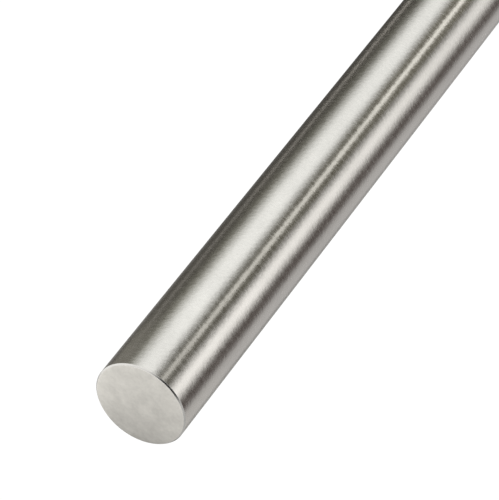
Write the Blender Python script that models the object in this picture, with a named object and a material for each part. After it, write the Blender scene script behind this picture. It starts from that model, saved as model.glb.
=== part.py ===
"""Round bar: a cut length of solid stainless steel stock, centreless ground, standing on one cut end.

Metres, +Z up. The bar stands along Z. The origin is on the floor, at the middle of the lower end.
"""

import math

import bmesh
import bpy

# Stock size: 1 inch round, in a 12 inch cut length
DIAMETER = 0.0254
LENGTH = 0.3048

# Leg of the 45 degree edge break that deburring leaves round both cut ends
EDGE_BREAK = 0.0004

# Narrow flats that stand for the round ground surface
SIDES = 128

# Finish, as the photo shows it
STEEL_COLOUR = (0.62, 0.605, 0.575, 1.0)
STEEL_ROUGHNESS = 0.3

# Edges that turn more sharply than this stay crisp in the shading, such as those of the edge break
SHARP_ANGLE = math.radians(30)

RADIUS = DIAMETER / 2
HALF_FLAT_ANGLE = math.pi / SIDES
# The flats touch the true circle, so the corners between them stand just outside it
CORNER_RADIUS = RADIUS / math.cos(HALF_FLAT_ANGLE)


def clear_scene():
    for obj in list(bpy.data.objects):
        bpy.data.objects.remove(obj, do_unlink=True)


def ground_steel():
    """Bright stainless steel with a fine ground finish."""
    material = bpy.data.materials.new("ground_steel")
    material.use_nodes = True
    shader = material.node_tree.nodes["Principled BSDF"]
    shader.inputs["Base Color"].default_value = STEEL_COLOUR
    shader.inputs["Metallic"].default_value = 1.0
    shader.inputs["Roughness"].default_value = STEEL_ROUGHNESS
    return material


def side_outline():
    """The bar's outline from the rim of its lower end to the rim of its upper one, as (radius, height)."""
    rim_radius = CORNER_RADIUS - EDGE_BREAK
    return [
        (rim_radius, 0.0),
        (CORNER_RADIUS, EDGE_BREAK),
        (CORNER_RADIUS, LENGTH - EDGE_BREAK),
        (rim_radius, LENGTH),
    ]


def turned_mesh(name, outline):
    """The outline spun once about Z, with its two open rims filled as flat end faces."""
    mesh = bmesh.new()
    start_x = math.cos(HALF_FLAT_ANGLE)
    start_y = math.sin(HALF_FLAT_ANGLE)
    points = [mesh.verts.new((radius * start_x, radius * start_y, height)) for radius, height in outline]
    edges = [mesh.edges.new(pair) for pair in zip(points, points[1:])]
    bmesh.ops.spin(
        mesh,
        geom=points + edges,
        cent=(0.0, 0.0, 0.0),
        axis=(0.0, 0.0, 1.0),
        angle=math.tau,
        steps=SIDES,
        use_merge=True,
    )
    rims = [edge for edge in mesh.edges if edge.is_boundary]
    bmesh.ops.holes_fill(mesh, edges=rims, sides=SIDES)
    bmesh.ops.recalc_face_normals(mesh, faces=mesh.faces)
    data = bpy.data.meshes.new(name)
    mesh.to_mesh(data)
    mesh.free()
    data.shade_smooth()
    data.set_sharp_from_angle(angle=SHARP_ANGLE)
    return data


def round_bar():
    bar = bpy.data.objects.new("round_bar", turned_mesh("round_bar", side_outline()))
    bar.data.materials.append(ground_steel())
    bpy.context.scene.collection.objects.link(bar)
    return bar


def main():
    clear_scene()
    round_bar()


main()
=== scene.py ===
"""Looks of a ground stainless steel round bar that stands on its end, seen from above its upper end."""

import math
from collections import namedtuple

import bmesh
import bpy
from mathutils import Matrix, Vector


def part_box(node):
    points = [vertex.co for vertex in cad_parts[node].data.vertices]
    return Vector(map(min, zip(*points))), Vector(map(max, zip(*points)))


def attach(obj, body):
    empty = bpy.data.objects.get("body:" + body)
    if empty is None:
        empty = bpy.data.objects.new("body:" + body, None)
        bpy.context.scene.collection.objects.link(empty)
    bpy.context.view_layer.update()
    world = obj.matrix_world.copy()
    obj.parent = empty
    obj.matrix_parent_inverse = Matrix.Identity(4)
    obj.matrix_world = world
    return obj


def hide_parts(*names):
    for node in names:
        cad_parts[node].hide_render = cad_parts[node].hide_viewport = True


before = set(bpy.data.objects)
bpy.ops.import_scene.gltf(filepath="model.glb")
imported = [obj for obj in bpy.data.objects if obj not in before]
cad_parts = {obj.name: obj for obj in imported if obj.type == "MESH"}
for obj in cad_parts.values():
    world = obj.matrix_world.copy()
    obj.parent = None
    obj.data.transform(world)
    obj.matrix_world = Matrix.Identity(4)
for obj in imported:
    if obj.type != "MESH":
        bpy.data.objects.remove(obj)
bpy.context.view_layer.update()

# The bar, read from the frame
LOW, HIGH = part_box("round_bar")
RADIUS = (HIGH.x - LOW.x) / 2
LENGTH = HIGH.z - LOW.z

# Edge break round both ends, and how far its corners are rubbed smooth: inner towards the face, outer
# towards the ground side
EDGE_BREAK = 0.0004
INNER_SOFT = 0.00008
OUTER_SOFT = 0.00004
CORNER_STEPS = 4

# The fine mesh: steps round the bar, rings on each end face and rings along the ground side, and how close
# to its corners the side's last rings lie, so that it is shaded flat right up to them
ROUND_STEPS = 384
FACE_RINGS = 8
SIDE_RINGS = 24
SIDE_GUARD = 0.0003

# Places of the three materials in the bar's list
SIDE_PLACE, FACE_PLACE, BREAK_PLACE = range(3)

# Places in the texture square: the ground side fills its left, and the two end faces lie beside it
SIDE_WIDTH = 0.70
MAP_MARGIN = 0.006
DISC_REACH = 0.135
LOWER_DISC = (0.858, 0.20)
UPPER_DISC = (0.858, 0.60)

# Camera: it looks along +Y, down at the upper end, and is rolled so that the bar runs up to the right
CAMERA_ELEVATION = 42.10
CAMERA_ROLL = 141.48
CAMERA_DISTANCE = 0.8490
AIM_BELOW_TOP = 0.0633
AIM_RIGHT = 0.0027
LENS = 234.2
SENSOR = 36.0

# Steel: linear colours, a little warmer than neutral
SIDE_COLOUR = (0.620, 0.606, 0.577)
FACE_COLOUR = (0.640, 0.619, 0.571)

# The ground side blurs its reflections more along the bar than round it. The turn, a share of a full one, is
# from the tangent that runs round the bar
ANISOTROPY = 0.65
ANISOTROPY_TURN = 0.25

# How far from each end the ground side is rubbed duller, by the field worn_end in its finish
END_WEAR = 0.034

# A noise in the steel: its cycles per metre across and along the bar, its finer layers and where it starts
Noise = namedtuple("Noise", "across along detail start", defaults=(0.0,))
# What a noise is turned into: low where it is at start or below, and high where it is at end or above
Spread = namedtuple("Spread", "low high start end", defaults=(0.0, 1.0))
# The stretch from 0 to 1 that a noise mostly keeps to
NOISE_CORE = (0.3, 0.7)
# A finish: its noises, its colour and the share by which this gets darker and lighter, the weights of the
# noises in that tone, what they add to the roughness, their weights in the relief, and the relief's depth in
# metres
Finish = namedtuple("Finish", "noises colour contrast tone roughness relief depth")
SIDE_FINISH = Finish(
    noises={
        "marks": Noise(700.0, 1350.0, 2.0),
        "specks": Noise(1500.0, 2600.0, 0.0, 4.4),
        "feed": Noise(90.0, 420.0, 2.0, 3.1),
        "clouds": Noise(70.0, 60.0, 3.0, 7.7),
        "waves": Noise(50.0, 70.0, 1.0, 2.3),
    },
    colour=SIDE_COLOUR,
    contrast=0.25,
    tone={"clouds": 0.38, "marks": 0.42, "specks": 0.20, "worn_end": -0.126},
    roughness={
        "marks": Spread(0.157, 0.218, *NOISE_CORE),
        "feed": Spread(0.036, 0.064),
        "specks": Spread(-0.012, 0.012, *NOISE_CORE),
        "worn_end": Spread(0.0, 0.015),
    },
    relief={"marks": 1.0, "feed": 0.5, "specks": 0.1, "waves": 1.7},
    depth=0.000038,
)
FACE_FINISH = Finish(
    noises={
        "clouds": Noise(260.0, 260.0, 4.0),
        "grain": Noise(1100.0, 1100.0, 3.0, 5.3),
    },
    colour=FACE_COLOUR,
    contrast=0.30,
    tone={"clouds": 0.6, "grain": 0.4},
    roughness={"clouds": Spread(0.28, 0.40)},
    relief={"grain": 1.0},
    depth=0.000006,
)
BREAK_FINISH = Finish(
    noises={"nicks": Noise(900.0, 900.0, 2.0)},
    colour=SIDE_COLOUR,
    contrast=0.08,
    tone={"nicks": 1.0},
    roughness={"nicks": Spread(0.14, 0.26)},
    relief={"nicks": 1.0},
    depth=0.000005,
)

# Room: white light from all round, one large soft lamp above, and a pale floor that shows as white
WHITE = (1.0, 1.0, 1.0)
ROOM_LIGHT = 1.0
LAMP_SIZE = 1.6
LAMP_POWER = 3.0
LAMP_PLACE = (0.3, -0.2, 1.9)
FLOOR_SIZE = 6.0
FLOOR_COLOUR = (0.90, 0.90, 0.90)
FLOOR_LIFT = 0.10

# A ring of cards stands round the bar and shows in its polish alone: its mesh, and the light that it has
# between the cards
RING_RADIUS = 0.065
RING_FOOT = 0.0005
RING_RISE = 0.10
RING_ROWS = 60
RING_STEPS = 720
RING_LIGHT = 0.092
RING_TINT = (1.0, 0.95, 0.80)
LIGHT_LAYER = "card_light"

# A card's angles are in degrees round the bar, from -Y, where the camera is, towards +X. Its light is half
# up at its start and its end, and the soft values are the widths over which it comes up and fades. The leans
# are how far its start and its end move over from the bar's top to its foot, where it shines foot_gain times
# as bright. Each card lies over those before it.
Card = namedtuple("Card", "start end start_soft end_soft light tint foot_gain start_lean end_lean",
                  defaults=(WHITE, 1.0, 0.0, 0.0))
SIDE_CARDS = {
    "brown_wall": Card(-100.0, -62.0, 20.0, 20.0, 0.108, (1.0, 0.82, 0.75)),
    "left_wall": Card(96.0, 146.0, 14.0, 10.0, 0.112, (1.0, 0.94, 0.81), 0.45),
    "beside_streak": Card(-24.0, 18.0, 8.0, 8.0, 0.101, (1.0, 0.93, 0.72), 2.2),
    "dim_backdrop": Card(139.3, 185.0, 14.0, 20.0, 0.44, (1.0, 0.97, 0.93), 0.148),
    "backdrop": Card(182.5, 207.4, 48.0, 26.0, 1.02, WHITE, 1.0, 0.0, 2.5),
    "thin_gap": Card(104.3, 109.3, 4.0, 4.0, 0.25, (1.0, 0.95, 0.88), 7.0, 6.5, 5.5),
    "warm_edge": Card(40.0, 82.0, 20.0, 34.0, 0.36, (1.0, 0.98, 0.82), 0.45),
    "wide_softbox": Card(13.3, 62.4, 25.0, 36.0, 1.38, (1.0, 1.01, 1.0), 0.86, 8.0, 3.0),
    "streak": Card(-8.8, 0.0, 5.0, 4.0, 0.80, (1.0, 0.985, 0.93), 2.35),
    "second_softbox": Card(-54.7, -27.3, 25.0, 23.0, 1.60, (1.0, 0.985, 0.97), 0.65, -9.5, -4.5),
    "near_floor": Card(-135.6, -86.9, 22.0, 20.0, 0.61, (1.0, 0.975, 0.965), 1.0, -4.0, -7.5),
}
# Cards that show only in the steel close to the upper end
NEAR_END_CARDS = {
    "left_glow": Card(82.0, 123.5, 14.0, 10.0, 0.27, (1.0, 0.96, 0.84)),
    "right_glow": Card(-135.0, -93.0, 22.0, 18.0, 0.69, (1.0, 0.975, 0.95)),
}
# What the end face sees: an even light with a dimmer wall at the picture's right, a dark card behind the
# upper end, which dims the face's far part, and a dark gap where the camera stands
UPPER_LIGHT = 1.25
RIGHT_WALL = Card(-150.0, -63.0, 40.0, 40.0, 0.62)
FAR_CARD = Card(172.0, 206.0, 16.0, 16.0, 0.25)
CAMERA_GAP = Card(-62.0, 14.0, 40.0, 40.0, 0.0)
# Heights over the bar's top between which the near end cards come up, the side cards give way to what the
# face sees, its even light and its wall fade into the light of the room, the far card fades, and the gap
# comes up and fades
NEAR_END_RISE = (-0.069, -0.057)
CHANGE_OVER = (-0.018, 0.006)
UPPER_FADE = (0.035, 0.070)
FAR_FADE = (0.035, 0.060)
GAP_RISE = (0.020, 0.040)
GAP_FADE = (0.075, 0.098)


def new_material(name):
    """A material with nodes, its node tree and its shader."""
    material = bpy.data.materials.new(name)
    material.use_nodes = True
    return material, material.node_tree, material.node_tree.nodes["Principled BSDF"]


def object_place(tree):
    """Where a point of the surface lies on its object."""
    return tree.nodes.new("ShaderNodeTexCoord").outputs["Object"]


def linear_map(tree, value, spread):
    """The value turned into what the spread says."""
    node = tree.nodes.new("ShaderNodeMapRange")
    node.inputs["From Min"].default_value = spread.start
    node.inputs["From Max"].default_value = spread.end
    node.inputs["To Min"].default_value = spread.low
    node.inputs["To Max"].default_value = spread.high
    tree.links.new(value, node.inputs["Value"])
    return node.outputs["Result"]


def combine(tree, operation, *values):
    """What the operation makes of one or two values. Each is a socket or a number."""
    node = tree.nodes.new("ShaderNodeMath")
    node.operation = operation
    for socket, value in zip(node.inputs, values):
        if isinstance(value, float):
            socket.default_value = value
        else:
            tree.links.new(value, socket)
    return node.outputs["Value"]


def add_up(tree, values):
    """The values added up, from the first to the last."""
    total = values[0]
    for value in values[1:]:
        total = combine(tree, "ADD", total, value)
    return total


def weighted_sum(tree, fields, weights):
    """The fields that the weights name, each times its weight, added up."""
    return add_up(tree, [combine(tree, "MULTIPLY", fields[name], weights[name]) for name in weights])


def tone_mix(tree, factor, colour, contrast):
    """The colour made darker or lighter by the contrast as the factor runs from 0 to 1."""
    mix = tree.nodes.new("ShaderNodeMix")
    mix.data_type = "RGBA"
    mix.inputs["A"].default_value = (*[channel * (1 - contrast) for channel in colour], 1.0)
    mix.inputs["B"].default_value = (*[channel * (1 + contrast) for channel in colour], 1.0)
    tree.links.new(factor, mix.inputs["Factor"])
    return mix.outputs["Result"]


def noise_field(tree, place, noise):
    """One noise of a finish, fixed to the object."""
    mapping = tree.nodes.new("ShaderNodeMapping")
    mapping.inputs["Scale"].default_value = (noise.across, noise.across, noise.along)
    mapping.inputs["Location"].default_value = (noise.start, noise.start, noise.start)
    tree.links.new(place, mapping.inputs["Vector"])
    texture = tree.nodes.new("ShaderNodeTexNoise")
    texture.inputs["Scale"].default_value = 1.0
    texture.inputs["Detail"].default_value = noise.detail
    tree.links.new(mapping.outputs["Vector"], texture.inputs["Vector"])
    return texture.outputs["Fac"]


def noise_fields(tree, place, finish):
    """The noises of a finish by their names."""
    return {name: noise_field(tree, place, noise) for name, noise in finish.noises.items()}


def worn_end(tree, place):
    """A field that rises from 0 to 1 over the worn stretch before each end of the bar."""
    axes = tree.nodes.new("ShaderNodeSeparateXYZ")
    tree.links.new(place, axes.inputs["Vector"])
    from_middle = combine(tree, "ABSOLUTE", combine(tree, "SUBTRACT", axes.outputs["Z"], LENGTH / 2))
    return linear_map(tree, from_middle, Spread(0.0, 1.0, LENGTH / 2 - END_WEAR, LENGTH / 2))


def apply_finish(tree, shader, fields, finish):
    """Steel with the finish's colour, roughness and relief, each made from the fields."""
    shader.inputs["Metallic"].default_value = 1.0
    tone = weighted_sum(tree, fields, finish.tone)
    tree.links.new(tone_mix(tree, tone, finish.colour, finish.contrast), shader.inputs["Base Color"])
    spreads = finish.roughness
    roughness = add_up(tree, [linear_map(tree, fields[name], spreads[name]) for name in spreads])
    tree.links.new(roughness, shader.inputs["Roughness"])
    bump = tree.nodes.new("ShaderNodeBump")
    bump.inputs["Strength"].default_value = 1.0
    bump.inputs["Distance"].default_value = finish.depth
    tree.links.new(weighted_sum(tree, fields, finish.relief), bump.inputs["Height"])
    tree.links.new(bump.outputs["Normal"], shader.inputs["Normal"])


def ground_side_material():
    """Centreless ground steel: fine marks round the bar, which blur its reflections along its length."""
    material, tree, shader = new_material("ground_side")
    shader.inputs["Anisotropic"].default_value = ANISOTROPY
    shader.inputs["Anisotropic Rotation"].default_value = ANISOTROPY_TURN
    tangent = tree.nodes.new("ShaderNodeTangent")
    tangent.direction_type = "RADIAL"
    tangent.axis = "Z"
    tree.links.new(tangent.outputs["Tangent"], shader.inputs["Tangent"])
    place = object_place(tree)
    fields = noise_fields(tree, place, SIDE_FINISH)
    fields["worn_end"] = worn_end(tree, place)
    apply_finish(tree, shader, fields, SIDE_FINISH)
    return material


def cut_face_material():
    """Satin cut end: matte, with cloudy mottling and a fine grain."""
    material, tree, shader = new_material("cut_face")
    apply_finish(tree, shader, noise_fields(tree, object_place(tree), FACE_FINISH), FACE_FINISH)
    return material


def edge_break_material():
    """The narrow filed edge, smoother than the face, with small nicks."""
    material, tree, shader = new_material("edge_break")
    apply_finish(tree, shader, noise_fields(tree, object_place(tree), BREAK_FINISH), BREAK_FINISH)
    return material


def rounded_corner(before, corner, after, reach):
    """Points on a small curve that replaces a corner of an outline, from one side to the other."""
    before, corner, after = Vector(before), Vector(corner), Vector(after)
    start = corner + (before - corner).normalized() * reach
    end = corner + (after - corner).normalized() * reach
    points = []
    for step in range(CORNER_STEPS + 1):
        past = step / CORNER_STEPS
        left = 1 - past
        points.append(tuple(start * left ** 2 + corner * 2 * past * left + end * past ** 2))
    return points


def bar_outline():
    """The outline as (radius, height) from near the lower end's centre to near the upper one's."""
    rim = RADIUS - EDGE_BREAK
    ring_gap = rim / FACE_RINGS
    face = [(ring_gap * (ring + 1), 0.0) for ring in range(FACE_RINGS - 1)]
    inner = rounded_corner((0, 0), (rim, 0), (RADIUS, EDGE_BREAK), INNER_SOFT)
    outer = rounded_corner((rim, 0), (RADIUS, EDGE_BREAK), (RADIUS, LENGTH), OUTER_SOFT)
    half = face + inner + outer
    side_start = EDGE_BREAK + SIDE_GUARD
    ring_step = (LENGTH - 2 * side_start) / SIDE_RINGS
    side = [(RADIUS, side_start + ring_step * ring) for ring in range(SIDE_RINGS + 1)]
    upper = [(radius, LENGTH - height) for radius, height in reversed(half)]
    return half + side + upper


def turn_of(point):
    """The share of the way round the bar at which a point lies."""
    return math.atan2(point.y, point.x) / math.tau % 1


def texture_place(corner, turn, on_side):
    """Where a point of the mesh lies in the texture square, with turn its share of the way round."""
    if on_side:
        run = MAP_MARGIN + (1 - 2 * MAP_MARGIN) * corner.z / LENGTH
        return MAP_MARGIN + (SIDE_WIDTH - 2 * MAP_MARGIN) * turn, run
    upper = corner.z > LENGTH / 2
    middle_u, middle_v = UPPER_DISC if upper else LOWER_DISC
    mirror = 1 if upper else -1
    scale = DISC_REACH / RADIUS
    return middle_u + corner.x * scale * mirror, middle_v + corner.y * scale


def bar_mesh():
    """The turned bar as one mesh, with the ground side, the cut faces and the edge breaks as materials."""
    mesh = bmesh.new()
    texture = mesh.loops.layers.uv.new("OFBake")
    rings = []
    for radius, height in bar_outline():
        ring = []
        for step in range(ROUND_STEPS):
            angle = math.tau * step / ROUND_STEPS
            ring.append(mesh.verts.new((radius * math.cos(angle), radius * math.sin(angle), height)))
        rings.append(ring)
    for inner, outer in zip(rings, rings[1:]):
        for step in range(ROUND_STEPS):
            following = (step + 1) % ROUND_STEPS
            mesh.faces.new((inner[step], inner[following], outer[following], outer[step]))
    for ring, height in ((rings[0], 0.0), (rings[-1], LENGTH)):
        centre = mesh.verts.new((0.0, 0.0, height))
        for step in range(ROUND_STEPS):
            mesh.faces.new((centre, ring[step], ring[(step + 1) % ROUND_STEPS]))
    bmesh.ops.recalc_face_normals(mesh, faces=mesh.faces)
    for face in mesh.faces:
        face.smooth = True
        middle = face.calc_center_median()
        if math.hypot(middle.x, middle.y) < RADIUS - EDGE_BREAK:
            face.material_index = FACE_PLACE
        elif min(middle.z, LENGTH - middle.z) < EDGE_BREAK:
            face.material_index = BREAK_PLACE
        middle_turn = turn_of(middle)
        for loop in face.loops:
            turn = turn_of(loop.vert.co)
            turn += round(middle_turn - turn)
            loop[texture].uv = texture_place(loop.vert.co, turn, face.material_index == SIDE_PLACE)
    return mesh


def new_object(name, mesh, materials):
    """An object of the scene, made from a mesh that is used up by it."""
    data = bpy.data.meshes.new(name)
    mesh.to_mesh(data)
    mesh.free()
    for material in materials:
        data.materials.append(material)
    made = bpy.data.objects.new(name, data)
    bpy.context.scene.collection.objects.link(made)
    return made


def ground_bar():
    """The bar, in the place of the frame's plain one."""
    materials = [ground_side_material(), cut_face_material(), edge_break_material()]
    bar = new_object("ground_bar", bar_mesh(), materials)
    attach(bar, "root")
    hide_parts("round_bar")


def soft_step(value):
    """Eases from 0 to 1 while the value runs from 0 to 1."""
    value = min(max(value, 0.0), 1.0)
    return value * value * (3 - 2 * value)


def ramp(value, edges):
    """Eases from 0 to 1 while the value runs from the first edge to the second."""
    return soft_step((value - edges[0]) / (edges[1] - edges[0]))


def blend(first, second, share):
    """The first colour with a share of the second laid over it."""
    return [under * (1 - share) + over * share for under, over in zip(first, second)]


def lit_by(card, colour, angle, depth):
    """The colour with a card's light laid over it. Depth is 0 at the bar's top and 1 at its foot."""
    start = card.start + card.start_lean * depth
    half = (card.end + card.end_lean * depth - start) / 2
    off = (angle - start - half + 180) % 360 - 180
    share = soft_step((off + half) / card.start_soft + 0.5) * soft_step((half - off) / card.end_soft + 0.5)
    light = card.light * card.foot_gain ** depth
    return blend(colour, [light * channel for channel in card.tint], share)


def ring_light(angle, height):
    """The colour that the ring shows at an angle in degrees and a height over the floor."""
    rise = height - LENGTH
    depth = min(max(-rise / LENGTH, 0.0), 1.0)
    side = [RING_LIGHT * channel for channel in RING_TINT]
    for card in SIDE_CARDS.values():
        side = lit_by(card, side, angle, depth)
    near_end = side
    for card in NEAR_END_CARDS.values():
        near_end = lit_by(card, near_end, angle, depth)
    side = blend(side, near_end, ramp(rise, NEAR_END_RISE))
    upper = lit_by(RIGHT_WALL, [UPPER_LIGHT] * 3, angle, depth)
    upper = blend(upper, [ROOM_LIGHT] * 3, ramp(rise, UPPER_FADE))
    upper = blend(lit_by(FAR_CARD, upper, angle, depth), upper, ramp(rise, FAR_FADE))
    gap = ramp(rise, GAP_RISE) * (1 - ramp(rise, GAP_FADE))
    upper = blend(upper, lit_by(CAMERA_GAP, upper, angle, depth), gap)
    return blend(side, upper, ramp(rise, CHANGE_OVER))


def evenly(start, end, steps):
    """Values from start to end with even steps between them."""
    return [start + (end - start) * step / steps for step in range(steps + 1)]


def glow_material():
    """Shines with the colour that is kept on the mesh."""
    material, tree, shader = new_material("card_light")
    tree.nodes.remove(shader)
    emission = tree.nodes.new("ShaderNodeEmission")
    attribute = tree.nodes.new("ShaderNodeAttribute")
    attribute.attribute_name = LIGHT_LAYER
    tree.links.new(attribute.outputs["Color"], emission.inputs["Color"])
    tree.links.new(emission.outputs["Emission"], tree.nodes["Material Output"].inputs["Surface"])
    return material


def card_ring():
    """An upright band about the bar's axis, open above and below, which shows in reflections alone."""
    angles = evenly(0.0, 360.0, RING_STEPS)
    heights = evenly(RING_FOOT, LENGTH + RING_RISE, RING_ROWS)
    mesh = bmesh.new()
    light = mesh.verts.layers.float_color.new(LIGHT_LAYER)
    rows = []
    for height in heights:
        points = []
        for angle in angles:
            turn = math.radians(angle)
            point = mesh.verts.new((RING_RADIUS * math.sin(turn), -RING_RADIUS * math.cos(turn), height))
            point[light] = (*ring_light(angle, height), 1.0)
            points.append(point)
        rows.append(points)
    for lower, upper in zip(rows, rows[1:]):
        for step in range(RING_STEPS):
            mesh.faces.new((lower[step], lower[step + 1], upper[step + 1], upper[step]))
    ring = new_object("card_ring", mesh, [glow_material()])
    ring.visible_camera = False
    ring.visible_diffuse = False
    ring.visible_shadow = False


def floor_material():
    """Pale matte floor. To the camera and in reflections it is lifted to white, and it keeps its shadows."""
    material, tree, shader = new_material("floor_white")
    shader.inputs["Base Color"].default_value = (*FLOOR_COLOUR, 1.0)
    shader.inputs["Roughness"].default_value = 1.0
    shader.inputs["Specular IOR Level"].default_value = 0.0
    shader.inputs["Emission Color"].default_value = (*WHITE, 1.0)
    path = tree.nodes.new("ShaderNodeLightPath")
    seen = combine(tree, "MAXIMUM", path.outputs["Is Camera Ray"], path.outputs["Is Glossy Ray"])
    seen = combine(tree, "MAXIMUM", seen, path.outputs["Is Transmission Ray"])
    tree.links.new(combine(tree, "MULTIPLY", seen, FLOOR_LIFT), shader.inputs["Emission Strength"])
    return material


def floor():
    """A wide floor under the bar."""
    mesh = bmesh.new()
    bmesh.ops.create_grid(mesh, x_segments=1, y_segments=1, size=FLOOR_SIZE / 2)
    ground = new_object("floor", mesh, [floor_material()])


def lights():
    """The white room, and a soft lamp above that faces the middle of the bar."""
    world = bpy.data.worlds.new("studio")
    bpy.context.scene.world = world
    world.use_nodes = True
    background = world.node_tree.nodes["Background"]
    background.inputs["Color"].default_value = (*WHITE, 1.0)
    background.inputs["Strength"].default_value = ROOM_LIGHT
    data = bpy.data.lights.new("top_softbox", "AREA")
    data.shape = "SQUARE"
    data.size = LAMP_SIZE
    data.energy = LAMP_POWER
    lamp = bpy.data.objects.new("top_softbox", data)
    lamp.location = LAMP_PLACE
    away = Vector(LAMP_PLACE) - Vector((0, 0, LENGTH / 2))
    lamp.rotation_euler = away.to_track_quat("Z", "Y").to_euler()
    lamp.visible_camera = False
    bpy.context.scene.collection.objects.link(lamp)


def camera():
    """The photograph's view, down on the upper end."""
    data = bpy.data.cameras.new("camera")
    data.lens = LENS
    data.sensor_width = SENSOR
    view = bpy.data.objects.new("camera", data)
    bpy.context.scene.collection.objects.link(view)
    bpy.context.scene.camera = view
    elevation = math.radians(CAMERA_ELEVATION)
    aim = Vector((AIM_RIGHT, 0.0, HIGH.z - AIM_BELOW_TOP))
    back = Vector((0.0, -math.cos(elevation), math.sin(elevation)))
    tilt = Matrix.Rotation(math.pi / 2 - elevation, 4, "X")
    roll = Matrix.Rotation(-math.radians(CAMERA_ROLL), 4, "Z")
    view.matrix_world = Matrix.Translation(aim + back * CAMERA_DISTANCE) @ tilt @ roll


bpy.context.scene.view_settings.view_transform = "Standard"
ground_bar()
card_ring()
floor()
lights()
camera()
